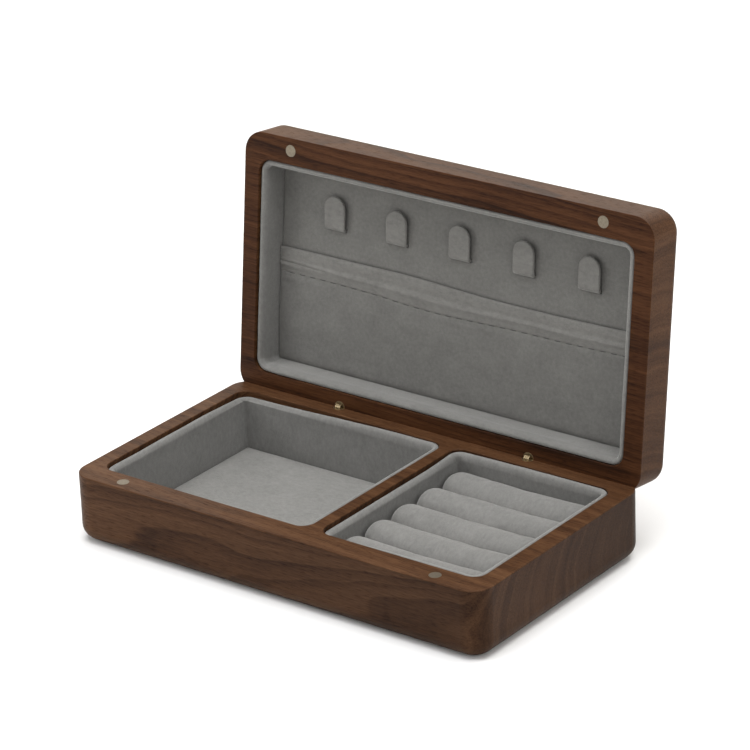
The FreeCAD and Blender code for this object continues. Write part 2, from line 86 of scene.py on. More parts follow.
# ------------------------------------------------------------- mesh helpers
def swing(P):
    """Closed-lid millimetres to the open rest pose."""
    P = np.asarray(P, float)
    y, z = P[:, 1] - AXIS_Y, P[:, 2] - AXIS_Z
    c, s = math.cos(OPEN), math.sin(OPEN)
    return np.stack([P[:, 0], y * c - z * s + AXIS_Y, y * s + z * c + AXIS_Z], 1)


def piece(name, verts, faces, material, body, nodes=(), lid=False, smooth=True, flip=None):
    """A mesh object from millimetre points, riding on its body."""
    P = np.asarray(verts, float)
    if lid:
        P = swing(P)
    me = bpy.data.meshes.new(name)
    me.from_pydata([tuple(p * MM) for p in P], [], [tuple(int(i) for i in f) for f in faces])
    bm = bmesh.new()
    bm.from_mesh(me)
    bmesh.ops.remove_doubles(bm, verts=bm.verts, dist=1e-7)
    if flip is None:
        bmesh.ops.recalc_face_normals(bm, faces=bm.faces)
    elif flip:
        bmesh.ops.reverse_faces(bm, faces=bm.faces)
    bm.to_mesh(me)
    bm.free()
    if smooth:
        me.polygons.foreach_set("use_smooth", [True] * len(me.polygons))
    me.materials.append(material)
    me.update()
    ob = bpy.data.objects.new(name, me)
    bpy.context.scene.collection.objects.link(ob)
    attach(ob, body)
    if nodes:
        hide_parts(*nodes)
    return ob


def subsurf(ob, levels=1):
    m = ob.modifiers.new("subdivision", "SUBSURF")
    m.levels = m.render_levels = levels
    return ob


def fbm(x, y, z, scale, seed=0.0, octaves=3):
    """Smooth noise about zero at a point in millimetres; scale is the size of a bump."""
    v, a, f = 0.0, 1.0, 1.0 / scale
    for _ in range(octaves):
        v += a * noise.noise(Vector((x * f + seed * 7.3, y * f - seed * 3.1, z * f + seed * 11.7)))
        a *= 0.5
        f *= 2.0
    return v


def sstep(a, b, t):
    t = np.clip((np.asarray(t, float) - a) / (b - a), 0.0, 1.0)
    return t * t * (3 - 2 * t)


def grid_faces(rows, cols, close_rows=False, close_cols=False, base=0):
    """Quads of a rows x cols lattice, wrapped where asked."""
    out = []
    for i in range(rows if close_rows else rows - 1):
        for j in range(cols if close_cols else cols - 1):
            a = i * cols + j
            b = i * cols + (j + 1) % cols
            c = ((i + 1) % rows) * cols + (j + 1) % cols
            d = ((i + 1) % rows) * cols + j
            out.append((a + base, b + base, c + base, d + base))
    return out


# ---------------------------------------------------------- padded linings
def ring_loop(box, inset, radius, nx, ny, nc):
    """Points round a rounded rectangle, counter-clockwise from the front left.
    radius is one number or four: front right, back right, back left, front left.
    Returns points, outward normals, distance from the nearest corner along the
    side (0 on a corner) and the share of the corner's turn (-1 on a side)."""
    x0, x1, y0, y1 = box[0] + inset, box[1] - inset, box[2] + inset, box[3] - inset
    R = list(radius) if hasattr(radius, "__len__") else [radius] * 4
    fr, br, bl, fl = R
    P, Nn, dist, turn = [], [], [], []

    def side(a, b, n, normal):
        a, b = np.array(a, float), np.array(b, float)
        L = np.linalg.norm(b - a)
        for i in range(n):
            # closer together near the corners
            t = (i + 0.5) / n
            t = 0.5 - 0.5 * math.cos(math.pi * t) if n > 12 else t
            t = 0.35 * t + 0.65 * (i + 0.5) / n
            p = a + (b - a) * t
            P.append(p)
            Nn.append(normal)
            dist.append(min(t, 1 - t) * L)
            turn.append(-1.0)

    def corner(cx, cy, r, a0):
        for i in range(nc + 1):
            t = i / nc
            a = math.radians(a0 + 90 * t)
            P.append(np.array([cx + r * math.cos(a), cy + r * math.sin(a)]))
            Nn.append((math.cos(a), math.sin(a)))
            dist.append(0.0)
            turn.append(t)

    side((x0 + fl, y0), (x1 - fr, y0), nx, (0, -1))
    corner(x1 - fr, y0 + fr, fr, 270)
    side((x1, y0 + fr), (x1, y1 - br), ny, (1, 0))
    corner(x1 - br, y1 - br, br, 0)
    side((x1 - br, y1), (x0 + bl, y1), nx, (0, 1))
    corner(x0 + bl, y1 - bl, bl, 90)
    side((x0, y1 - bl), (x0, y0 + fl), ny, (-1, 0))
    corner(x0 + fl, y0 + fl, fl, 180)
    return np.array(P), np.array(Nn, float), np.array(dist), np.array(turn)


def lining(name, box, depth, seed, material, body, node, lid=False, drop=None,
           crease=(0.7, 0.7, 0.7, 0.7), bulge=0.2):
    """A suede-covered wall strip round a well: a soft rolled lip, a padded inner
    face that is pulled in at the corners, and a flat back against the wood."""
    nc = 12
    nx = max(24, int((box[1] - box[0]) / 1.25))
    ny = max(24, int((box[3] - box[2]) / 1.25))
    # profile: (inset from the wood, depth below the lip, how much it is padding)
    prof = [(0.14, depth - 0.02, 0), (0.14, depth * 0.62, 0), (0.14, depth * 0.3, 0), (0.14, 2.2, 0)]
    for a in np.linspace(180, 96, 6):
        a = math.radians(a)
        prof.append((0.98 + 0.84 * math.cos(a), 0.95 * (1 - math.sin(a)), 0.3))
    for a in np.linspace(90, 4, 10):
        a = math.radians(a)
        prof.append((0.98 + 1.62 * math.cos(a) ** 0.92, 2.7 * (1 - math.sin(a)), 0.65))
    lows = np.concatenate([np.linspace(3.1, 4.6, 3), np.linspace(5.6, depth - 2.2, max(5, int(depth / 1.8))),
                           np.array([depth - 1.3, depth - 0.6, depth - 0.02])])
    for w in lows:
        prof.append((2.33 + 0.27 * math.exp(-(w - 2.6) / 2.0), float(w), 1.0))
    V = []
    rows = len(prof)
    zc = LID_LIP_Z if lid else LIP_Z
    for d, w, soft in prof:
        if soft <= 0:
            rad = [5.0 - d] * 4
        else:
            k = math.exp(-max(0.0, w - 1.2) / 1.5)
            wide = max(5.0 - d, 0.5)
            rad = [wide * k + c * (1 - k) for c in crease]
        P, Nn, dist, turn = ring_loop(box, d, rad, nx, ny, nc)
        for i in range(len(P)):
            x, y = P[i]
            out = 0.0
            zz = 0.0
            if soft > 0:
                edge = float(sstep(0.0, 9.0, dist[i]))
                belly = math.sin(math.pi * min(max((w - 1.6) / (depth - 1.6), 0.0), 1.0)) ** 0.8 if w > 1.6 else 0.0
                out = soft * (belly * bulge * (0.35 + 0.65 * edge) - 0.06 * sstep(depth - 1.5, depth, w))
                out += soft * 0.075 * fbm(x, y, w * 1.2, 6.5, seed, 2)
                out += soft * 0.03 * fbm(x, y, w, 2.0, seed + 5, 2)
                # gathers where the cloth turns the corner
                if turn[i] >= 0:
                    out += 0.07 * math.cos(turn[i] * math.pi * 6) * math.exp(-((w - 1.1) / 1.2) ** 2) * soft
                else:
                    out += 0.05 * math.cos(dist[i] * 2.6) * math.exp(-dist[i] / 2.5) * math.exp(-((w - 1.3) / 1.3) ** 2) * soft
            if w < 2.5:
                lip = float(sstep(2.5, 0.6, w))
                if drop is not None:
                    zz -= lip * drop(x, y)
                zz += lip * 0.07 * fbm(x, y, 0.0, 9.0, seed + 2, 2)
                zz -= lip * 0.05
            q = P[i] - Nn[i] * out
            z = (zc - w + zz) if not lid else (zc + w - zz)
            V.append((q[0], q[1], z))
    n = len(V) // rows
    faces = grid_faces(rows, n, close_rows=True, close_cols=True)
    ob = piece(name, V, faces, material, body, [node], lid=lid)
    subsurf(ob, 1)
    return ob


def squircle(x, y, box, r):
    """Moves a point of a square-cornered sheet so the corners are round."""
    x0, x1, y0, y1 = box
    cx = x0 + r if x < x0 + r else (x1 - r if x > x1 - r else None)
    cy = y0 + r if y < y0 + r else (y1 - r if y > y1 - r else None)
    if cx is None or cy is None:
        return x, y
    u, v = x - cx, y - cy
    m = max(abs(u), abs(v))
    L = math.hypot(u, v)
    if L < 1e-9:
        return x, y
    return cx + u * m / L, cy + v * m / L


def lines(a, b, step, edge=(0.0, 0.12, 0.3, 0.55, 0.9, 1.4, 2.1), extra=()):
    """Sorted grid lines from a to b, close together at both ends and near extras."""
    v = [a + e for e in edge] + [b - e for e in edge]
    n = max(2, int((b - a - 2 * edge[-1]) / step))
    v += list(np.linspace(a + edge[-1], b - edge[-1], n + 1))
    for c, offs in extra:
        v += [c + o for o in offs]
    v = sorted(v)
    out = [v[0]]
    for t in v[1:]:
        if t - out[-1] > 0.055:
            out.append(t)
    out[-1] = b
    return out


def pad_board(name, box, r, z_back, face, material, body, node, lid=False, step=1.1,
              xs_extra=(), ys_extra=()):
    """A suede-covered board. face(x, y, edge) gives the height of its show face
    above z_back at a point edge millimetres from the nearest side."""
    xs = lines(box[0], box[1], step, extra=xs_extra)
    ys = lines(box[2], box[3], step, extra=ys_extra)
    sign = -1.0 if lid else 1.0
    top, bot = [], []
    for y in ys:
        for x in xs:
            e = min(x - box[0], box[1] - x, y - box[2], box[3] - y)
            qx, qy = squircle(x, y, box, r)
            top.append((qx, qy, z_back + sign * face(qx, qy, e)))
            bot.append((qx, qy, z_back))
    ny, nx = len(ys), len(xs)
    faces = grid_faces(ny, nx)
    faces += [tuple(reversed(f)) for f in grid_faces(ny, nx, base=ny * nx)]
    off = ny * nx
    ring = [j for j in range(nx)] + [i * nx + nx - 1 for i in range(1, ny)] \
        + [(ny - 1) * nx + j for j in range(nx - 2, -1, -1)] + [i * nx for i in range(ny - 2, 0, -1)]
    for a, b in zip(ring, ring[1:] + ring[:1]):
        faces.append((b, a, a + off, b + off))
    ob = piece(name, top + bot, faces, material, body, [node], lid=lid)
    return ob


# --------------------------------------------------------------- ring rolls
def puff(ob, scale=10.0, pressure=4.0, cap=0.7, pin=None, clamp=None, voxel=0.85, frames=16):
    """Cloth simulation of a stuffed piece. The mesh is remeshed, blown up under
    pressure at ten times its size, capped, and left as a plain mesh."""
    me = ob.data
    rm = ob.modifiers.new("remesh", "REMESH")
    rm.mode = "VOXEL"
    rm.voxel_size = voxel * MM
    rm.use_smooth_shade = True
    dg = bpy.context.evaluated_depsgraph_get()
    new = bpy.data.meshes.new_from_object(ob.evaluated_get(dg), depsgraph=dg)
    ob.modifiers.clear()
    new.name = me.name + "_soft"
    work = bpy.data.objects.new("work", new)
    bpy.context.scene.collection.objects.link(work)
    co = np.zeros(len(new.vertices) * 3)
    new.vertices.foreach_get("co", co)
    co = co.reshape(-1, 3)
    rest = co.copy()
    centre = rest.mean(0)
    new.vertices.foreach_set("co", ((rest - centre) * scale).ravel())
    new.update()
    vg = work.vertex_groups.new(name="pin")
    w = pin(rest / MM) if pin is not None else np.zeros(len(rest))
    for i in np.nonzero(w > 0.02)[0]:
        vg.add([int(i)], float(w[i]), "REPLACE")
    cl = work.modifiers.new("cloth", "CLOTH")
    st = cl.settings
    st.quality = 5
    st.mass = 0.3
    st.tension_stiffness = 12
    st.compression_stiffness = 12
    st.shear_stiffness = 5
    st.bending_stiffness = 0.4
    st.use_pressure = True
    st.uniform_pressure_force = pressure
    st.effector_weights.gravity = 0.0
    st.vertex_group_mass = "pin"
    cl.collision_settings.use_collision = False
    cl.collision_settings.use_self_collision = False
    cl.point_cache.frame_start, cl.point_cache.frame_end = 1, frames
    for f in range(1, frames + 1):
        bpy.context.scene.frame_set(f)
    dg = bpy.context.evaluated_depsgraph_get()
    ev = work.evaluated_get(dg).to_mesh()
    out = np.zeros(len(ev.vertices) * 3)
    ev.vertices.foreach_get("co", out)
    work.evaluated_get(dg).to_mesh_clear()
    out = out.reshape(-1, 3) / scale + centre
    work.modifiers.clear()
    work.vertex_groups.clear()
    bpy.context.scene.frame_set(1)
    move = out - rest
    L = np.linalg.norm(move, axis=1, keepdims=True)
    lim = cap * MM
    move *= np.minimum(1.0, lim * np.tanh(L / lim) / np.maximum(L, 1e-12))
    co = rest + move
    if clamp is not None:
        co = clamp(co / MM) * MM
    new.vertices.foreach_set("co", co.ravel())
    new.update()
    bpy.data.objects.remove(work)
    mats = [m for m in me.materials]
    ob.data = new
    new.materials.clear()
    for m in mats:
        new.materials.append(m)
    new.polygons.foreach_set("use_smooth", [True] * len(new.polygons))
    return ob


def soften(t, lim, k):
    """Values beyond lim are squeezed back towards it over k."""
    over = np.maximum(t - (lim - k), 0.0)
    return np.where(t > lim - k, lim - k + k * np.tanh(over / k), t)


ROLL_PITCH = (41.4 + 40.0 - 4.6) / 5.0


def ring_roll(k, material):
    """A foam roll in suede: flat below, a domed top and pillow-like ends."""
    cy = -40.0 + 2.3 + (k + 0.5) * ROLL_PITCH
    half, low, top = 7.48, 4.2, 21.75
    x0, x1 = 17.35, 79.05
    seed = 3.1 * k + 1.0
    V = []
    re = 5.7
    m = 44

    def section(inset):
        pts = []
        h = half - inset
        zt = top - inset
        zc = zt - h * 0.96
        for j in range(m):
            t = j / m
            if t < 0.2:
                pts.append((-h + 2 * h * (t / 0.2), low + inset * 0.25))
            elif t < 0.35:
                pts.append((h, low + inset * 0.25 + (zc - low - inset * 0.25) * (t - 0.2) / 0.15))
            elif t < 0.85:
                a = math.pi * (t - 0.35) / 0.5
                pts.append((h * math.cos(a), zc + (zt - zc) * math.sin(a)))
            else:
                pts.append((-h, zc - (zc - low - inset * 0.25) * (t - 0.85) / 0.15))
        return pts

    xs = []
    for t in (0.0, 0.35, 0.6, 0.8, 0.93):
        xs.append((x0, re + (half - re) * (1 - t)))     # the flat end, from its middle out
    for t in np.linspace(0, 90, 8):
        a = math.radians(t)
        xs.append((x0 + re * (1 - math.cos(a)), re * (1 - math.sin(a))))
    nmid = 44
    for i in range(1, nmid):
        xs.append((x0 + re + (x1 - x0 - 2 * re) * i / nmid, 0.0))
    for t in np.linspace(90, 0, 8):
        a = math.radians(t)
        xs.append((x1 - re * (1 - math.cos(a)), re * (1 - math.sin(a))))
    for t in (0.93, 0.8, 0.6, 0.35, 0.0):
        xs.append((x1, re + (half - re) * (1 - t)))
    for x, inset in xs:
        inset = min(inset, half - 0.05)
        for y, z in section(inset):
            g = fbm(x, y + 20 * k, z, 11.0, seed, 2)
            y2 = y * (1 + 0.010 * g)
            z2 = z + 0.16 * fbm(x * 0.6, y, 0, 12.0, seed + 3, 2) * float(sstep(12, 20, z))
            V.append((x, cy + y2, z2))
    n = len(xs)
    faces = grid_faces(n, m, close_cols=True)
    V.append((x0, cy, (low + top) / 2))
    V.append((x1, cy, (low + top) / 2))
    for j in range(m):
        faces.append((n * m, (j + 1) % m, j))
        faces.append((n * m + 1, (n - 1) * m + j, (n - 1) * m + (j + 1) % m))
    ob = piece("ring_roll_%d_cover" % (k + 1), V, faces, material, "base",
               ["ring_roll_%d" % (k + 1)])

    def pin(p):
        return sstep(6.5, 4.6, p[:, 2])

    def clamp(p):
        q = p.copy()
        u = p[:, 1] - cy
        q[:, 1] = cy + np.sign(u) * soften(np.abs(u), 7.64, 0.5)
        q[:, 2] = soften(p[:, 2], 22.1, 0.7)
        q[:, 2] = np.maximum(q[:, 2], 4.16)
        mid = (x0 + x1) / 2
        v = p[:, 0] - mid
        q[:, 0] = mid + np.sign(v) * soften(np.abs(v), (79.3 - 17.1) / 2, 0.5)
        return q

    puff(ob, pin=pin, clamp=clamp, pressure=4.0, cap=0.75)
    subsurf(ob, 1)
    return ob


# ------------------------------------------------------------ necklace tabs
def tab(k, material):
    """An arch-topped suede leaf that comes out of a slit and stands off the panel."""
    cx = TAB_X[k]
    half, length, t = 4.55, 13.3, 1.15
    # path of the leaf: s along it, (y, height off the panel) of its middle
    y_root = TAB_FOOT - 0.62
    path = []
    h0, h1, R = -0.85, 0.62, 0.86
    path.append((y_root, h0))
    path.append((y_root, 0.0))
    path.append((y_root, h1))
    for a in np.linspace(10, 84, 8):
        a = math.radians(a)
        path.append((y_root - R * (1 - math.cos(a)), h1 + R * math.sin(a)))
    y, h = path[-1]
    lean = math.tan(math.radians(2.5))
    y_tip = TAB_FOOT - length
    path.append((y_tip - 3, h + (y - (y_tip - 3)) * lean))
    path = np.array(path)
    seg = np.linalg.norm(np.diff(path, axis=0), axis=1)
    S = np.concatenate([[0], np.cumsum(seg)])

    def at(s):
        y = np.interp(s, S, path[:, 0])
        h = np.interp(s, S, path[:, 1])
        d = 0.05
        ty = np.interp(s + d, S, path[:, 0]) - np.interp(s - d, S, path[:, 0])
        th = np.interp(s + d, S, path[:, 1]) - np.interp(s - d, S, path[:, 1])
        L = math.hypot(ty, th) or 1.0
        return y, h, ty / L, th / L      # the leaf's normal is (-th, ty) turned

    s_tip = S[-1] - 3.0 / math.cos(math.radians(2.5))
    # outline in leaf coordinates (u across, s along), inset by d
    nside, narc, nfoot = 16, 22, 8

    def outline(d):
        pts = []
        r = half - d
        s_c = s_tip - half
        s0 = 0.0 + min(d, 0.5)
        for i in range(nfoot):
            pts.append((-r + 2 * r * i / nfoot, s0))
        for i in range(nside):
            pts.append((r, s0 + (s_c - s0) * i / nside))
        for i in range(narc):
            a = math.pi * i / narc
            pts.append((r * math.cos(a), s_c + r * math.sin(a)))
        for i in range(nside):
            pts.append((-r, s_c - (s_c - s0) * i / nside))
        return pts

    V = []
    # from the back's middle out, round the edge, and in again over the face
    prof = []
    for d in (3.2, 2.2, 1.3, 0.75):
        prof.append((d, -t / 2 - 0.0))
    for a in np.linspace(-75, 75, 7):
        a = math.radians(a)
        prof.append((0.5 * (1 - math.cos(a)), t / 2 * math.sin(a)))
    for d in (0.75, 1.3, 2.2, 3.2):
        prof.append((d, t / 2 + 0.05 * (1 - math.exp(-d))))
    for d, off in prof:
        for u, s in outline(d):
            y, h, ty, th = at(s)
            u *= 0.925 + 0.075 * float(sstep(0.9, 2.3, s))
            o = off + 0.03 * fbm(u + cx, s, off, 3.0, 2.0 + k, 2)
            twist = 0.03 * (k - 2) * u * float(sstep(3, 12, s)) * 0.5
            yy = y + th * o * 1.0
            hh = h - ty * o + twist
            V.append((cx + u, yy, LID_FACE_Z - hh))
    m = 2 * nside + narc + nfoot
    n = len(prof)
    faces = grid_faces(n, m, close_cols=True)
    for base in (0, (n - 1) * m):
        # close each side with quads across the leaf, foot to tip
        idx = list(range(base, base + m))
        foot = idx[:nfoot + 1]
        right_side = idx[nfoot:nfoot + nside + 1]
        arc = idx[nfoot + nside:nfoot + nside + narc + 1]
        left = [idx[0]] + list(reversed(idx[nfoot + nside + narc:]))
        rows = []
        for i in range(1, nside):
            a, b = V[left[i]], V[right_side[i]]
            row = [left[i]]
            for j in range(1, nfoot):
                f = j / nfoot
                V.append(tuple(np.array(a) * (1 - f) + np.array(b) * f))
                row.append(len(V) - 1)
            row.append(right_side[i])
            rows.append(row)
        arow = [left[nside]]
        a, b = V[left[nside]], V[right_side[nside]]
        for j in range(1, nfoot):
            f = j / nfoot
            V.append(tuple(np.array(a) * (1 - f) + np.array(b) * f))
            arow.append(len(V) - 1)
        arow.append(right_side[nside])
        allrows = [foot] + rows + [arow]
        for r0, r1 in zip(allrows, allrows[1:]):
            for j in range(nfoot):
                faces.append((r0[j], r0[j + 1], r1[j + 1], r1[j]))
        cap = list(reversed(arc))                         # left end to right end
        faces.append(tuple(arow + list(reversed(cap[1:-1]))))
    ob = piece("necklace_tab_%d_leaf" % (k + 1), V, faces, material, "lid",
               ["necklace_tab_%d" % (k + 1)], lid=True)
    subsurf(ob, 1)
    return ob


# ------------------------------------------------------------- slip pocket
POCKET_X = (-79.55, 78.55)
HEM_TOP_PTS = ([-80, -60, -40, -25, -12, 0, 12, 25, 45, 62, 79], [-5.05, -5.15, -5.2, -5.3, -5.0, -4.45, -3.95, -3.8, -3.8, -4.1, -4.6])
STITCH_PTS = ([-80, -70, -50, -35, -24, -10, 5, 18, 32, 45, 62, 79], [4.45, 4.45, 4.6, 5.0, 5.7, 6.25, 6.05, 5.6, 5.3, 5.35, 5.0, 4.7])


def smooth_curve(pts, x):
    """Smooth curve through the points, by a local cubic."""
    X, Y = np.array(pts[0], float), np.array(pts[1], float)
    x = float(np.clip(x, X[0], X[-1]))
    i = int(np.clip(np.searchsorted(X, x) - 1, 0, len(X) - 2))
    t = (x - X[i]) / (X[i + 1] - X[i])
    d = np.gradient(Y, X)
    h = X[i + 1] - X[i]
    return ((2 * t ** 3 - 3 * t ** 2 + 1) * Y[i] + (t ** 3 - 2 * t ** 2 + t) * h * d[i]
            + (-2 * t ** 3 + 3 * t ** 2) * Y[i + 1] + (t ** 3 - t ** 2) * h * d[i + 1])


def hem_top(x):
    return smooth_curve(HEM_TOP_PTS, x)


def stitch_y(x):
    return smooth_curve(STITCH_PTS, x)


STITCH_PITCH, STITCH_LONG = 4.75, 2.9


def stitch_dip(x):
    """1 where the needle went in, 0 in the middle of a stitch or of a gap."""
    u = (x + 200.0) % STITCH_PITCH
    a = min(abs(u - 0.9), abs(u - 0.9 - STITCH_LONG), abs(u - 0.9 - STITCH_PITCH))
    return math.exp(-(a / 0.55) ** 2)


def pocket_height(x, y):
    """Height of the pocket's outside above the panel."""
    yt, ys = hem_top(x), stitch_y(x)
    side = min(x - POCKET_X[0], POCKET_X[1] - x)
    u = (y - yt) / (ys - yt)                # 0 at the mouth, 1 at the stitches
    if y < ys:
        h = 1.72 - 0.16 * math.sin(math.pi * min(max(u, 0), 1) * 0.9)
        inside = 1 - 0.85 * float(sstep(-58, -74, x))
        h += 0.34 * inside * math.exp(-((u - 0.62) / 0.085) ** 2)   # turned-in edge inside the hem
        h -= 0.15 * inside * math.exp(-((u - 0.44) / 0.09) ** 2)
        h -= 0.50 * float(sstep(0.66, 1.0, u))
    else:
        v = y - ys
        h = 1.17 + 0.16 * (1 - math.exp(-v / 1.6)) - 0.35 * float(sstep(14, 33, v))
    h -= 0.26 * math.exp(-((y - ys) / 0.36) ** 2) * (0.75 + 0.25 * stitch_dip(x))
    # small puckers along the seam
    h += 0.025 * math.cos(2 * math.pi * (x + 200.0 - 0.9 - STITCH_LONG / 2) / STITCH_PITCH) * math.exp(-((y - ys) / 2.2) ** 2)
    # tucks that run out of the left end
    if x < -50:
        f = float(sstep(-50, -72, x))
        tuck = y - (0.25 + 0.035 * (x + 80))
        h += 0.16 * f * math.exp(-((tuck + 0.75) / 0.62) ** 2)
        h -= 0.46 * f * math.exp(-(tuck / 0.30) ** 2)
        h += 0.26 * f * math.exp(-((tuck - 1.25) / 0.70) ** 2)
        h -= 0.16 * f * math.exp(-((y - (3.0 + 0.05 * (x + 80))) / 0.34) ** 2)
    if x > 52:
        f = float(sstep(52, 76, x))
        h -= 0.12 * f * math.exp(-((y - 1.2) / 0.5) ** 2)
    # loose cloth of the bag
    if y > ys:
        v = y - ys
        h += 0.13 * float(sstep(-50, -74, x)) * math.exp(-((v - 2.4) / 0.9) ** 2)
        h -= 0.10 * float(sstep(-56, -76, x)) * math.exp(-((v - 3.9) / 0.5) ** 2)
        h += 0.22 * fbm(x * 0.45, y * 1.1, 0, 13.0, 21.0, 3) * float(sstep(0, 5, v))
        h += 0.10 * math.exp(-((v - 2.0 - 0.6 * math.sin(x / 19.0)) / 0.8) ** 2) * (0.5 + 0.5 * math.sin(x / 13.0 + 1))
    else:
        h += 0.09 * fbm(x * 0.35, y * 1.3, 0, 7.0, 13.0, 2)
    h += 0.02 * fbm(x, y, 0, 1.8, 31.0, 2)
    h -= 0.55 * math.exp(-max(side, 0) / 0.9)
    bottom = 38.85 - y
    h -= 0.8 * math.exp(-max(bottom, 0) / 1.1)
    return max(h, 0.32)


def pocket(hem_material, bag_material):
    """One cut of suede: turned over at the mouth, stitched down and tucked in round
    the sides and bottom. The hem's nap lies the other way from the bag's, and the
    bag's suede is a darker copy of the hem's: painted shade that keeps the hem a little lighter."""
    xs = []
    x = POCKET_X[0]
    while x < POCKET_X[1] - 0.01:
        xs.append(x)
        x += 0.30 if min(x - POCKET_X[0], POCKET_X[1] - x) < 1.5 else 0.59
    xs.append(POCKET_X[1])
    V = []
    for x in xs:
        yt, ys = hem_top(x), stitch_y(x)
        col = []
        # hidden layer behind the hem, from its raw edge up to the mouth
        for f in np.linspace(1.0, 0.12, 9):
            col.append((yt + (ys - yt - 1.4) * f, 0.42))
        # the turn at the mouth
        top_h = pocket_height(x, yt + 0.75)
        hm = (top_h + 0.42) / 2
        rr = (top_h - 0.42) / 2
        for a in np.linspace(-80, 80, 9):
            a = math.radians(a)
            col.append((yt + 0.7 * (1 - math.cos(a)), hm + rr * math.sin(a)))
        # the show face
        show = list(np.linspace(0.95, 2.0, 4)) + list(np.linspace(2.25, ys - yt - 1.5, 34))
        show += [ys - yt - d for d in (1.3, 1.0, 0.75, 0.5, 0.3, 0.12, -0.06, -0.25, -0.45, -0.7, -1.0, -1.4)]
        seam_row = len(col) + len(show) - 6
        for s in show:
            col.append((yt + s, pocket_height(x, yt + s)))
        end = 38.85
        start = ys + 1.9
        for y in list(np.linspace(start, end - 2.4, 40)) + [end - 1.8, end - 1.3, end - 0.9, end - 0.5, end - 0.2, end]:
            col.append((y, pocket_height(x, y)))
        rows = len(col)
        V += [(x, y, LID_FACE_Z - 0.03 - h) for y, h in col]
    n = len(xs)
    faces = grid_faces(n, rows)
    ob = piece("pocket_cloth", V, faces, hem_material, "lid", ["pocket_panel", "pocket_hem"], lid=True)
    ob.data.materials.append(bag_material)
    for i, f in enumerate(ob.data.polygons):
        f.material_index = 1 if i % (rows - 1) >= seam_row else 0
    so = ob.modifiers.new("thickness", "SOLIDIFY")
    so.thickness = 0.34 * MM
    so.offset = -1.0
    return ob


def stitching(material):
    """Each stitch is a short thread that dives into the cloth at both ends."""
    V, faces = [], []
    start = math.floor((POCKET_X[0] + 200.0) / STITCH_PITCH) * STITCH_PITCH - 200.0 + 0.9
    k = 0
    seg, m, r = 12, 8, 0.15
    while start < POCKET_X[1] - 1.5:
        a, b = start, start + STITCH_LONG
        start += STITCH_PITCH
        if a < POCKET_X[0] + 0.8 or b > POCKET_X[1] - 0.6:
            continue
        base = len(V)
        jit = 0.05 * noise.noise(Vector((k * 3.7, 1.5, 0.2)))
        tilt = 0.05 * noise.noise(Vector((k * 1.9, 8.5, 4.2)))
        k += 1
        for i in range(seg + 1):
            t = i / seg
            px = a + (b - a) * t
            ys = stitch_y(px) + jit + tilt * (t - 0.5)
            lift = max(math.sin(math.pi * t), 0.0) ** 0.5 * 0.22 - 0.14
            ph = pocket_height(px, stitch_y(px)) + lift
            rad = r * (0.75 + 0.25 * max(math.sin(math.pi * t), 0.0) ** 0.5) * (1 + 0.06 * math.sin(t * 38))
            for j in range(m):
                an = 2 * math.pi * j / m
                V.append((px, ys + rad * math.cos(an), LID_FACE_Z - 0.03 - ph - rad * math.sin(an)))
        faces += grid_faces(seg + 1, m, close_cols=True, base=base)
        faces.append(tuple(base + j for j in range(m))[::-1])
        faces.append(tuple(base + seg * m + j for j in range(m)))
    ob = piece("pocket_stitches", V, faces, material, "lid", ["pocket_stitching"], lid=True)
    return ob


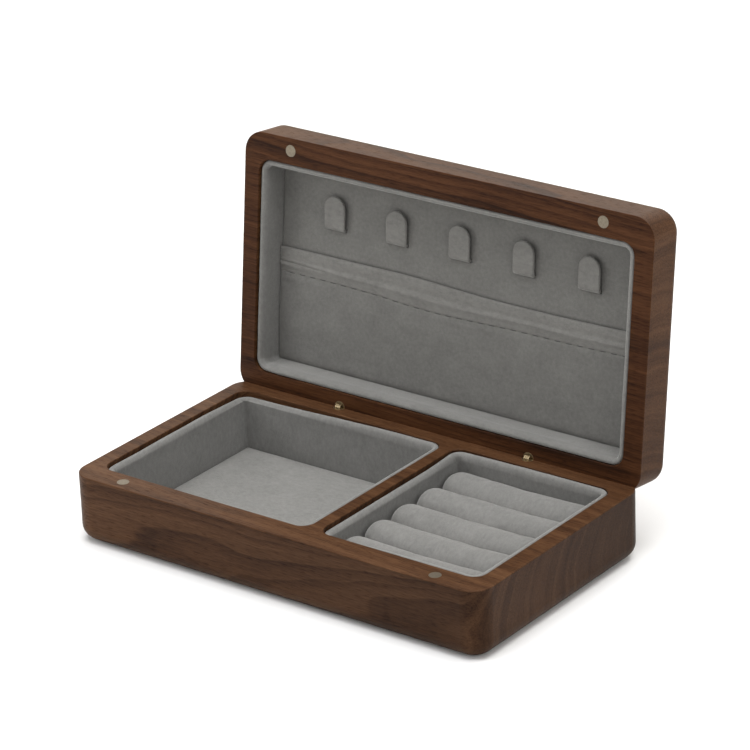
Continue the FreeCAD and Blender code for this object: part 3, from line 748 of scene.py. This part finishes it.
# -------------------------------------------------------------- materials
class Mat:
    def __init__(self, name):
        self.m = bpy.data.materials.new(name)
        self.m.use_nodes = True
        self.nt = self.m.node_tree
        self.nt.nodes.clear()
        self.out = self.node("ShaderNodeOutputMaterial")
        self.bsdf = self.node("ShaderNodeBsdfPrincipled")
        self.link(self.bsdf, "BSDF", self.out, "Surface")

    def node(self, kind, **props):
        n = self.nt.nodes.new(kind)
        for k, v in props.items():
            setattr(n, k, v)
        return n

    def link(self, a, ao, b, bi):
        self.nt.links.new(a.outputs[ao], b.inputs[bi])

    def set(self, **kw):
        for k, v in kw.items():
            self.bsdf.inputs[k.replace("_", " ")].default_value = v

    def coords(self, location=(0, 0, 0), rotation=(0, 0, 0), scale=(1000, 1000, 1000)):
        tc = self.node("ShaderNodeTexCoord")
        mp = self.node("ShaderNodeMapping")
        mp.inputs["Location"].default_value = location
        mp.inputs["Rotation"].default_value = rotation
        mp.inputs["Scale"].default_value = scale
        self.link(tc, "Object", mp, "Vector")
        return mp, "Vector"

    def stretch(self, src, scale, location=(0, 0, 0)):
        mp = self.node("ShaderNodeMapping")
        mp.inputs["Scale"].default_value = scale
        mp.inputs["Location"].default_value = location
        self.link(src[0], src[1], mp, "Vector")
        return mp, "Vector"

    def noise(self, src, scale, detail=3.0, rough=0.55, dist=0.0, dims="3D"):
        n = self.node("ShaderNodeTexNoise", noise_dimensions=dims)
        if dims == "1D":
            self.link(src[0], src[1], n, "W")
        else:
            self.link(src[0], src[1], n, "Vector")
        n.inputs["Scale"].default_value = scale
        n.inputs["Detail"].default_value = detail
        n.inputs["Roughness"].default_value = rough
        n.inputs["Distortion"].default_value = dist
        return n, "Fac"

    def math(self, op, a, b=None, c=None, clamp=False):
        n = self.node("ShaderNodeMath", operation=op, use_clamp=clamp)
        for i, v in enumerate((a, b, c)):
            if v is None:
                continue
            if isinstance(v, tuple):
                self.nt.links.new(v[0].outputs[v[1]], n.inputs[i])
            else:
                n.inputs[i].default_value = v
        return n, "Value"

    def vmath(self, op, a, b=None, scale=None):
        n = self.node("ShaderNodeVectorMath", operation=op)
        for i, v in enumerate((a, b)):
            if v is None:
                continue
            if len(v) == 2:
                self.nt.links.new(v[0].outputs[v[1]], n.inputs[i])
            else:
                n.inputs[i].default_value = v
        if scale is not None:
            n.inputs["Scale"].default_value = scale
        return n

    def ramp(self, src, stops, interp="LINEAR"):
        n = self.node("ShaderNodeValToRGB")
        cr = n.color_ramp
        cr.interpolation = interp
        while len(cr.elements) > 1:
            cr.elements.remove(cr.elements[-1])
        cr.elements[0].position = stops[0][0]
        cr.elements[0].color = self._rgba(stops[0][1])
        for p, c in stops[1:]:
            e = cr.elements.new(p)
            e.color = self._rgba(c)
        self.link(src[0], src[1], n, "Fac")
        return n, "Color"

    @staticmethod
    def _rgba(c):
        if isinstance(c, (int, float)):
            return (c, c, c, 1.0)
        return tuple(c) + (1.0,) if len(c) == 3 else tuple(c)

    def mix(self, fac, a, b, blend="MIX"):
        n = self.node("ShaderNodeMix", data_type="RGBA", blend_type=blend)
        n.clamp_factor = True
        for key, v in ((0, fac), (6, a), (7, b)):
            if isinstance(v, tuple) and len(v) == 2 and hasattr(v[0], "outputs"):
                self.nt.links.new(v[0].outputs[v[1]], n.inputs[key])
            elif isinstance(v, (int, float)):
                n.inputs[key].default_value = v if key == 0 else (v, v, v, 1.0)
            else:
                n.inputs[key].default_value = self._rgba(v)
        return n, 2

    def bump(self, height, strength, distance, under=None):
        n = self.node("ShaderNodeBump")
        n.inputs["Strength"].default_value = strength
        n.inputs["Distance"].default_value = distance
        self.nt.links.new(height[0].outputs[height[1]], n.inputs["Height"])
        if under is not None:
            self.nt.links.new(under[0].outputs[under[1]], n.inputs["Normal"])
        return n, "Normal"

    def to(self, src, socket):
        self.nt.links.new(src[0].outputs[src[1]], self.bsdf.inputs[socket])


def lid_mapping(extra=(0, 0, 0)):
    """Location and rotation that take open-lid metres x 1000 back to the closed lid."""
    a = -OPEN
    c, s = math.cos(a), math.sin(a)
    ry = c * AXIS_Y - s * AXIS_Z
    rz = s * AXIS_Y + c * AXIS_Z
    return (extra[0], AXIS_Y - ry + extra[1], AXIS_Z - rz + extra[2]), (a, 0.0, 0.0)


def walnut(name, lid, pith, shift, warp_seed, gain, rim, painted_side_shade, arch, painted_end_shade):
    """Oiled walnut. The grain runs along X; the growth rings are shells about a
    pith line beyond the back, so the front shows arches and the ends stripes.
    gain is the tone of the block; rim is (height where the cut rim begins, height
    where it ends, a tone laid on the rim, which on the lid is a darker, redder
    painted shade, how far its rings fade); painted_side_shade is the painted shade
    at the left and at the right; painted_end_shade is how much painted shade darkens
    the ends towards the back; arch is (run of the rings along X, their bend with
    height, the height of the arches' points, a shift that places the points)."""
    M = Mat(name)
    if lid:
        loc, rot = lid_mapping(shift)
    else:
        loc, rot = shift, (0, 0, 0)
    P = M.coords(loc, rot)
    # slow wander of the rings
    w1 = M.noise(M.stretch(P, (0.35, 1.0, 1.0), (warp_seed, 0, 0)), 0.030, 2.0, 0.5)[0]
    wv = M.vmath("SUBTRACT", (w1, "Color"), (0.5, 0.5, 0.5))
    wv = M.vmath("MULTIPLY", (wv, "Vector"), (0.0, 9.0, 7.0))
    w2 = M.noise(M.stretch(P, (0.18, 1.0, 1.0), (3.0, warp_seed, 0)), 0.16, 2.0, 0.55)[0]
    wv2 = M.vmath("SUBTRACT", (w2, "Color"), (0.5, 0.5, 0.5))
    wv2 = M.vmath("MULTIPLY", (wv2, "Vector"), (0.0, 1.3, 1.3))
    q = M.vmath("ADD", P, (wv, "Vector"))
    q = M.vmath("ADD", (q, "Vector"), (wv2, "Vector"))
    q = M.vmath("SUBTRACT", (q, "Vector"), (0.0, pith[0], pith[1]))
    flat = M.vmath("MULTIPLY", (q, "Vector"), (0.0, 1.0, 1.0))
    r = M.vmath("LENGTH", (flat, "Vector"))
    axes = M.node("ShaderNodeSeparateXYZ")
    M.link(P[0], P[1], axes, "Vector")
    off = M.math("SUBTRACT", (axes, "Z"), arch[2])
    bend = M.math("MULTIPLY", M.math("MULTIPLY", off, off), arch[1])
    run = M.math("ADD", M.math("MULTIPLY", M.math("SUBTRACT", (axes, "X"), shift[0]), arch[0]), arch[3])
    r = M.math("ADD", (r, "Value"), M.math("ADD", run, bend))
    # ring to ring difference, then the ring itself
    each = M.noise(r, 0.21, 2.0, 0.6, dims="1D")
    uneven = M.math("MULTIPLY", M.noise(r, 0.10, 1.0, 0.5, dims="1D"), 7.0)
    ph = M.math("FRACT", M.math("DIVIDE", M.math("ADD", r, uneven), 3.1))
    ring = M.ramp(ph, [(0.0, 0.86), (0.35, 0.72), (0.70, 0.45), (0.88, 0.10), (0.95, 0.16), (1.0, 0.80)], "EASE")
    fine_ph = M.math("FRACT", M.math("DIVIDE", r, 0.83))
    fine = M.ramp(fine_ph, [(0.0, 0.75), (0.6, 0.55), (0.85, 0.15), (1.0, 0.7)], "EASE")
    # fibres and pores, long along the grain
    fib = M.noise(M.stretch(P, (0.05, 1.0, 1.0)), 1.5, 5.0, 0.62)
    fib2 = M.noise(M.stretch(P, (0.10, 1.0, 1.0), (9, 5, 1)), 4.6, 3.0, 0.6)
    pore = M.noise(M.stretch(P, (0.075, 1.0, 1.0), (4, 0, 7)), 3.4, 1.0, 0.4)
    pores = M.ramp(pore, [(0.0, 0.0), (0.56, 0.0), (0.64, 1.0), (1.0, 1.0)])
    broad = M.noise(M.stretch(P, (0.30, 1.0, 1.0), (0, 3, warp_seed)), 0.045, 2.0, 0.5)
    # end grain: the rings are softer there and the fibres show as dots
    end = M.node("ShaderNodeMapRange", interpolation_type="SMOOTHSTEP")
    M.link(M.math("ABSOLUTE", M.math("SUBTRACT", (axes, "X"), shift[0]))[0], "Value", end, "Value")
    end.inputs["From Min"].default_value = 82.0
    end.inputs["From Max"].default_value = 88.8
    at_rim = M.node("ShaderNodeMapRange", interpolation_type="SMOOTHSTEP")
    M.link(axes, "Z", at_rim, "Value")
    at_rim.inputs["From Min"].default_value = rim[0]
    at_rim.inputs["From Max"].default_value = rim[1]
    keep = M.math("SUBTRACT", 1.0, M.math("MULTIPLY", (end, "Result"), 0.78))
    keep = M.math("MULTIPLY", keep, M.math("SUBTRACT", 1.0, M.math("MULTIPLY", (at_rim, "Result"), rim[3])))
    ring = M.math("ADD", M.math("MULTIPLY", M.math("SUBTRACT", ring, 0.55), keep), 0.55)
    fine = M.math("ADD", M.math("MULTIPLY", M.math("SUBTRACT", fine, 0.55), keep), 0.55)
    v = M.math("MULTIPLY", ring, 0.26)
    v = M.math("ADD", v, M.math("MULTIPLY", fine, 0.06))
    v = M.math("ADD", v, M.math("MULTIPLY", fib, 0.62))
    v = M.math("ADD", v, M.math("MULTIPLY", fib2, 0.30))
    v = M.math("ADD", v, M.math("MULTIPLY", each, 0.46))
    v = M.math("ADD", v, M.math("MULTIPLY", broad, 0.34))
    v = M.math("SUBTRACT", v, 0.52)
    v = M.math("SUBTRACT", v, M.math("MULTIPLY", pores, 0.13))
    tones = [(0.0, (0.0080, 0.0034, 0.0018)), (0.28, (0.0235, 0.0100, 0.0046)),
             (0.50, (0.0520, 0.0232, 0.0104)), (0.72, (0.0820, 0.0395, 0.0190)),
             (1.0, (0.1250, 0.0680, 0.0350))]
    col = M.ramp(v, [(t, tuple(c * g for c, g in zip(rgb, gain))) for t, rgb in tones])
    # painted shade: the block darkens from its left end to its right end, and its cut rim takes a tone of its own,
    # which on the lid is a darker, redder painted shade
    length = M.node("ShaderNodeMapRange", interpolation_type="LINEAR")
    M.link(M.math("SUBTRACT", (axes, "X"), shift[0])[0], "Value", length, "Value")
    length.inputs["From Min"].default_value = -89.0
    length.inputs["From Max"].default_value = 60.0
    tone = M.ramp((length, "Result"), [(0.0, painted_side_shade[0]), (1.0, painted_side_shade[1])])
    # painted shade: the ends darken towards the back, next to the open lid
    rear_painted_shade = M.node("ShaderNodeMapRange", interpolation_type="SMOOTHSTEP")
    M.link(axes, "Y", rear_painted_shade, "Value")
    rear_painted_shade.inputs["From Min"].default_value = 0.0
    rear_painted_shade.inputs["From Max"].default_value = 40.0
    shade = M.math("MULTIPLY", M.math("MULTIPLY", (rear_painted_shade, "Result"), (end, "Result")), painted_end_shade)
    tone = M.mix(shade, tone, (0.0, 0.0, 0.0))
    # rim[2] on the lid is painted shade, darker and redder than its other faces
    tone = M.mix((at_rim, "Result"), tone, rim[2])
    col = M.mix(1.0, col, tone, "MULTIPLY")
    M.to(col, "Base Color")
    rough = M.math("ADD", M.math("MULTIPLY", fib, 0.16), 0.36)
    rough = M.math("ADD", rough, M.math("MULTIPLY", pores, 0.14))
    M.to(rough, "Roughness")
    h = M.math("ADD", M.math("MULTIPLY", fib2, 0.5), M.math("MULTIPLY", pores, -0.8))
    M.to(M.bump(h, 0.35, 0.00004), "Normal")
    M.set(Specular_IOR_Level=0.07, IOR=1.5)
    return M.m


def suede(name, colour, lid=False, seed=0.0, nap=(1.0, 0.35, 1.0), sheen=0.30, cloudy=0.24):
    """Short-nap suede cloth: soft mottling where the nap lies differently, fine
    speckle and a faint brushed direction."""
    M = Mat(name)
    if lid:
        loc, rot = lid_mapping()
    else:
        loc, rot = (0, 0, 0), (0, 0, 0)
    P = M.coords(loc, rot)
    cloud = M.noise(M.stretch(P, (1, 1, 1), (seed, 2 * seed, 0)), 0.11, 3.0, 0.6)
    brushed = M.noise(M.stretch(P, nap, (0, seed, 5)), 0.9, 4.0, 0.65)
    speck = M.noise(M.stretch(P, (1, 1, 1), (seed, 0, 9)), 3.2, 3.0, 0.7)
    fluff = M.noise(P, 7.0, 2.0, 0.7)
    v = M.math("MULTIPLY", cloud, cloudy)
    v = M.math("ADD", v, M.math("MULTIPLY", brushed, 0.42))
    v = M.math("ADD", v, M.math("MULTIPLY", speck, 1.10 - 0.42 - cloudy))
    dark = tuple(c * 0.58 for c in colour)
    light = tuple(c * 1.42 for c in colour)
    col = M.ramp(v, [(0.25, dark), (0.55, colour), (0.85, light)])
    M.to(col, "Base Color")
    h = M.math("ADD", M.math("MULTIPLY", speck, 0.55), M.math("MULTIPLY", fluff, 0.45))
    h = M.math("ADD", h, M.math("MULTIPLY", brushed, 0.35))
    M.to(M.bump(h, 0.7, 0.00014), "Normal")
    M.to(M.math("ADD", M.math("MULTIPLY", speck, 0.10), 0.88), "Roughness")
    M.set(Specular_IOR_Level=0.12, Sheen_Weight=sheen, Sheen_Roughness=0.45)
    M.bsdf.inputs["Sheen Tint"].default_value = (1.0, 0.99, 0.96, 1.0)
    return M.m


def metal(name, colour, rough, seed, brushed=(1, 1, 1)):
    M = Mat(name)
    P = M.coords()
    a = M.noise(M.stretch(P, brushed, (seed, 0, 0)), 1.6, 3.0, 0.6)
    b = M.noise(M.stretch(P, (1, 1, 1), (0, seed, 0)), 9.0, 2.0, 0.6)
    dark = tuple(c * 0.72 for c in colour)
    M.to(M.ramp(a, [(0.3, dark), (0.6, colour), (1.0, tuple(min(c * 1.08, 1.0) for c in colour))]), "Base Color")
    M.to(M.math("ADD", M.math("MULTIPLY", a, 0.18), rough), "Roughness")
    M.to(M.bump(b, 0.12, 0.00002), "Normal")
    M.set(Metallic=1.0)
    return M.m


def thread(name, colour):
    M = Mat(name)
    P = M.coords(*lid_mapping())
    w = M.node("ShaderNodeTexWave", wave_type="BANDS", bands_direction="DIAGONAL")
    M.link(P[0], P[1], w, "Vector")
    w.inputs["Scale"].default_value = 2.4
    w.inputs["Distortion"].default_value = 0.6
    n = M.noise(P, 6.0, 2.0, 0.6)
    v = M.math("ADD", M.math("MULTIPLY", (w, "Fac"), 0.6), M.math("MULTIPLY", n, 0.4))
    M.to(M.ramp(v, [(0.1, tuple(c * 0.55 for c in colour)), (0.9, tuple(c * 1.25 for c in colour))]), "Base Color")
    M.to(M.bump(v, 0.6, 0.00006), "Normal")
    M.set(Roughness=0.85, Specular_IOR_Level=0.2, Sheen_Weight=0.2)
    return M.m


# painted shade on the wood: the base darkens towards its right end and towards the back of its ends, and the lid's cut
# rim is darker and redder
WALNUT_BASE = walnut("walnut_base", False, (128.0, 9.0), (0, 0, 0), 0.0, (1.20, 1.20, 1.18),
                     (25.62, 25.96, (1.0, 1.0, 1.0), 0.55), (0.86, 0.59), (-0.060, 0.020, 7.0, 1.02), 0.26)
WALNUT_LID = walnut("walnut_lid", True, (118.0, 20.0), (41.0, 0.0, 0.0), 6.0, (0.99, 0.94, 0.82),
                    (26.60, 26.25, (0.79, 0.69, 0.65), 0.0), (1.0, 0.99), (0.035, 0.012, 34.0, 0.0), 0.0)
# One suede in copies that differ in brightness, floor pads lightest and pocket bag darkest: the differences are painted
# light and shade, each set to how bright its piece looks where it sits.
SUEDE_TRAY = suede("suede_lining", (0.176, 0.1735, 0.166), seed=1.0, nap=(0.9, 0.9, 0.5))
SUEDE_FLOOR = suede("suede_floor", (0.190, 0.187, 0.178), seed=4.0, nap=(0.6, 1.0, 1.0))
SUEDE_ROLL = suede("suede_rolls", (0.168, 0.1655, 0.158), seed=7.0, nap=(1.0, 0.5, 0.5))
SUEDE_LID = suede("suede_lid", (0.156, 0.1530, 0.1445), lid=True, seed=2.0, nap=(0.5, 0.8, 0.8))
SUEDE_BAG = suede("suede_bag", (0.131, 0.1286, 0.1222), lid=True, seed=2.0, nap=(0.8, 0.8, 0.8), cloudy=0.30)
SUEDE_PANEL = suede("suede_panel", (0.136, 0.1337, 0.1265), lid=True, seed=9.0, nap=(0.8, 0.8, 0.8))
SUEDE_LID_WALL = suede("suede_lid_wall", (0.152, 0.150, 0.143), lid=True, seed=5.0, nap=(0.7, 0.7, 1.0), sheen=0.42)
BRASS = metal("hinge_brass", (0.34, 0.265, 0.16), 0.30, 3.0)
NICKEL = metal("magnet_plating", (0.208, 0.181, 0.139), 0.38, 8.0)
# painted shade: the thread is near black so each stitch reads as a dark dash, the shade of the groove it lies in
THREAD = thread("seam_thread", (0.040, 0.039, 0.038))

for n, o in NODES.items():
    if n == "base_case":
        m = WALNUT_BASE
    elif n == "lid_case":
        m = WALNUT_LID
    elif "magnet" in n:
        m = NICKEL
    elif "hinge" in n:
        m = BRASS
    else:
        continue
    for s in o.material_slots:
        s.material = m


# ----------------------------------------------------------------- pieces
def left_drop(x, y):
    """How far the lip sags: low at the back left corner, level with the wood on the right."""
    t = float(sstep(0.0, 0.85, (x + 82.0) / 91.0))
    low = 0.35 + 0.80 * math.exp(-((y - 41.0) / 13.0) ** 2) + 0.20 * math.exp(-((y + 22.0) / 9.0) ** 2)
    return low * (1 - t) - 0.62 * t + 0.45 * math.exp(-((y + 40.0) / 4.0) ** 2)


def right_drop(x, y):
    t = float(sstep(0.0, 0.55, (x - 15.0) / 66.0))
    low = 0.55 - 0.80 * float(sstep(22.0, 41.0, y))
    return low * (1 - t) - 0.66 * t + 0.10 * math.exp(-((y + 40.0) / 4.0) ** 2)


def lid_drop(x, y):
    t = float(sstep(-82.0, -70.0, x))
    return 0.15 * (1 - t) - 0.50 * t


lining("left_tray_lining", LEFT_WELL, 22.2, 1.0, SUEDE_TRAY, "base", "left_tray_liner",
       drop=left_drop)
lining("right_tray_lining", RIGHT_WELL, 22.2, 2.0, SUEDE_TRAY, "base", "right_tray_liner",
       drop=right_drop, bulge=0.0)
lining("lid_lining", LID_WELL, 12.4, 3.0, SUEDE_LID_WALL, "lid", "lid_liner", lid=True,
       drop=lid_drop, crease=(0.8, 1.0, 1.6, 0.7), bulge=0.14)


def floor_face(seed):
    def face(x, y, e):
        h = 1.1 + 0.10 * (1 - math.exp(-e / 6.0)) + 0.05 * fbm(x, y, 0, 16.0, seed, 2)
        return h - 0.55 * math.exp(-e / 0.35)
    return face


def inner(box, gap):
    return (box[0] + 2.3 + gap, box[1] - 2.3 - gap, box[2] + 2.3 + gap, box[3] - 2.3 - gap)


pad_board("left_tray_pad", inner(LEFT_WELL, 0.16), 0.7, 3.02, floor_face(1.0), SUEDE_FLOOR, "base",
          "left_tray_floor", step=2.0)
pad_board("right_tray_pad", inner(RIGHT_WELL, 0.16), 0.7, 3.02, lambda x, y, e: 1.06 - 0.5 * math.exp(-e / 0.35),
          SUEDE_FLOOR, "base", "right_tray_floor", step=3.0)

for k in range(5):
    ring_roll(k, SUEDE_ROLL)


def panel_face(x, y, e):
    h = 1.2 + 0.04 * fbm(x, y, 0, 18.0, 9.0, 2) - 0.5 * math.exp(-e / 0.4)
    for cx in TAB_X:
        u = abs(x - cx)
        if u < 6.5 and abs(y - (TAB_FOOT - 0.62)) < 4:
            across = float(sstep(4.44, 4.30, u))
            # slit for the tab, with lips that the tab pushes up a little
            h -= 1.0 * across * math.exp(-((y - (TAB_FOOT - 0.62)) / 0.68) ** 4)
            h += 0.06 * float(sstep(6.3, 4.5, u)) * math.exp(-((y - (TAB_FOOT + 0.6)) / 0.6) ** 2)
    return max(h, 0.06)


slit_x = [(cx + s * 4.37, (-0.4, -0.2, -0.1, 0.0, 0.1, 0.2, 0.4)) for cx in TAB_X for s in (-1, 1)]
slit_y = [(TAB_FOOT - 0.62, (-1.5, -1.2, -0.95, -0.8, -0.68, -0.5, -0.25, 0, 0.25, 0.5, 0.68, 0.8, 0.95, 1.2, 1.5, 1.9))]
pad_board("lid_panel_board", inner(LID_WELL, 0.16), 0.9, 39.38, panel_face, SUEDE_PANEL, "lid",
          "lid_panel", lid=True, step=1.6, xs_extra=slit_x, ys_extra=slit_y)
for k in range(5):
    tab(k, SUEDE_LID)
bag = pocket(SUEDE_LID, SUEDE_BAG)
seam = stitching(THREAD)


# ------------------------------------------------------- floor, light, world
def floor():
    """A round white floor that glows a little towards its edge, so it runs into
    the pale walls without a line."""
    me = bpy.data.meshes.new("floor")
    n, radius = 128, 1.3
    rim = [(radius * math.cos(2 * math.pi * i / n), radius * math.sin(2 * math.pi * i / n), -0.00006) for i in range(n)]
    me.from_pydata(rim, [], [tuple(range(n))])
    ob = bpy.data.objects.new("floor", me)
    bpy.context.scene.collection.objects.link(ob)
    M = Mat("floor_paper")
    P = M.coords(scale=(1, 1, 1))
    n = M.noise(P, 40.0, 2.0, 0.5)
    M.to(M.ramp(n, [(0.0, (0.80, 0.80, 0.80)), (1.0, (0.82, 0.82, 0.82))]), "Base Color")
    M.set(Roughness=0.9, Specular_IOR_Level=0.1)
    M.bsdf.inputs["Emission Color"].default_value = (1.0, 1.0, 1.0, 1.0)
    away = M.vmath("LENGTH", P)
    glow = M.node("ShaderNodeMapRange", interpolation_type="SMOOTHSTEP")
    M.link(away, "Value", glow, "Value")
    glow.inputs["From Min"].default_value = 0.50
    glow.inputs["From Max"].default_value = 1.10
    glow.inputs["To Max"].default_value = 0.95
    M.to((glow, "Result"), "Emission Strength")
    me.materials.append(M.m)
    return ob


floor()


def area(name, size, place, aim, power, colour=(1, 1, 1)):
    d = bpy.data.lights.new(name, "AREA")
    d.shape = "RECTANGLE"
    d.size, d.size_y = size
    d.energy = power
    d.color = colour
    ob = bpy.data.objects.new(name, d)
    ob.location = place
    ob.rotation_euler = (Vector(aim) - Vector(place)).to_track_quat("-Z", "Y").to_euler()
    bpy.context.scene.collection.objects.link(ob)
    return ob


area("top_softbox", (1.1, 0.9), (0.05, -0.05, 1.15), (0, 0.02, 0.03), 19.0)
area("front_softbox", (1.0, 0.8), (0.25, -1.05, 0.60), (0, 0.02, 0.05), 2.5)
area("right_softbox", (0.9, 0.8), (1.1, -0.25, 0.60), (0, 0.02, 0.05), 4.4)
area("left_softbox", (0.5, 0.5), (-0.62, -0.50, 0.46), (0, 0.02, 0.05), 3.0)
area("wall_wash", (1.6, 0.8), (-0.5, 1.7, 1.3), (-0.5, 1.5, 0.0), 14.0)

# pale studio walls to just above the horizon, and a bright one behind the box
world = bpy.data.worlds.new("studio")
bpy.context.scene.world = world
world.use_nodes = True
wt = world.node_tree
wt.nodes.clear()
bg = wt.nodes.new("ShaderNodeBackground")
wout = wt.nodes.new("ShaderNodeOutputWorld")
wtc = wt.nodes.new("ShaderNodeTexCoord")
wsep = wt.nodes.new("ShaderNodeSeparateXYZ")
wmap = wt.nodes.new("ShaderNodeMapRange")
wmap.interpolation_type = "SMOOTHSTEP"
wmap.inputs["From Min"].default_value = 0.1
wmap.inputs["From Max"].default_value = 0.8
wmap.inputs["To Min"].default_value = WORLD_LOW
wmap.inputs["To Max"].default_value = WORLD_BACK
wt.links.new(wtc.outputs["Generated"], wsep.inputs["Vector"])
wt.links.new(wsep.outputs["Y"], wmap.inputs["Value"])
bg.inputs["Color"].default_value = (0.95, 0.91, 0.84, 1.0)
wlow = wt.nodes.new("ShaderNodeMapRange")
wlow.interpolation_type = "SMOOTHSTEP"
wlow.inputs["From Min"].default_value = 0.065
wlow.inputs["From Max"].default_value = 0.130
wlow.inputs["To Min"].default_value = 1.25
wlow.inputs["To Max"].default_value = 0.0
wmax = wt.nodes.new("ShaderNodeMath")
wmax.operation = "MAXIMUM"
wt.links.new(wsep.outputs["Z"], wlow.inputs["Value"])
wt.links.new(wmap.outputs["Result"], wmax.inputs[0])
wt.links.new(wlow.outputs["Result"], wmax.inputs[1])
wt.links.new(wmax.outputs["Value"], bg.inputs["Strength"])
wt.links.new(bg.outputs["Background"], wout.inputs["Surface"])

vs = bpy.context.scene.view_settings
vs.view_transform = "Standard"
vs.look = "None"
vs.exposure = 0.0
vs.gamma = 1.0
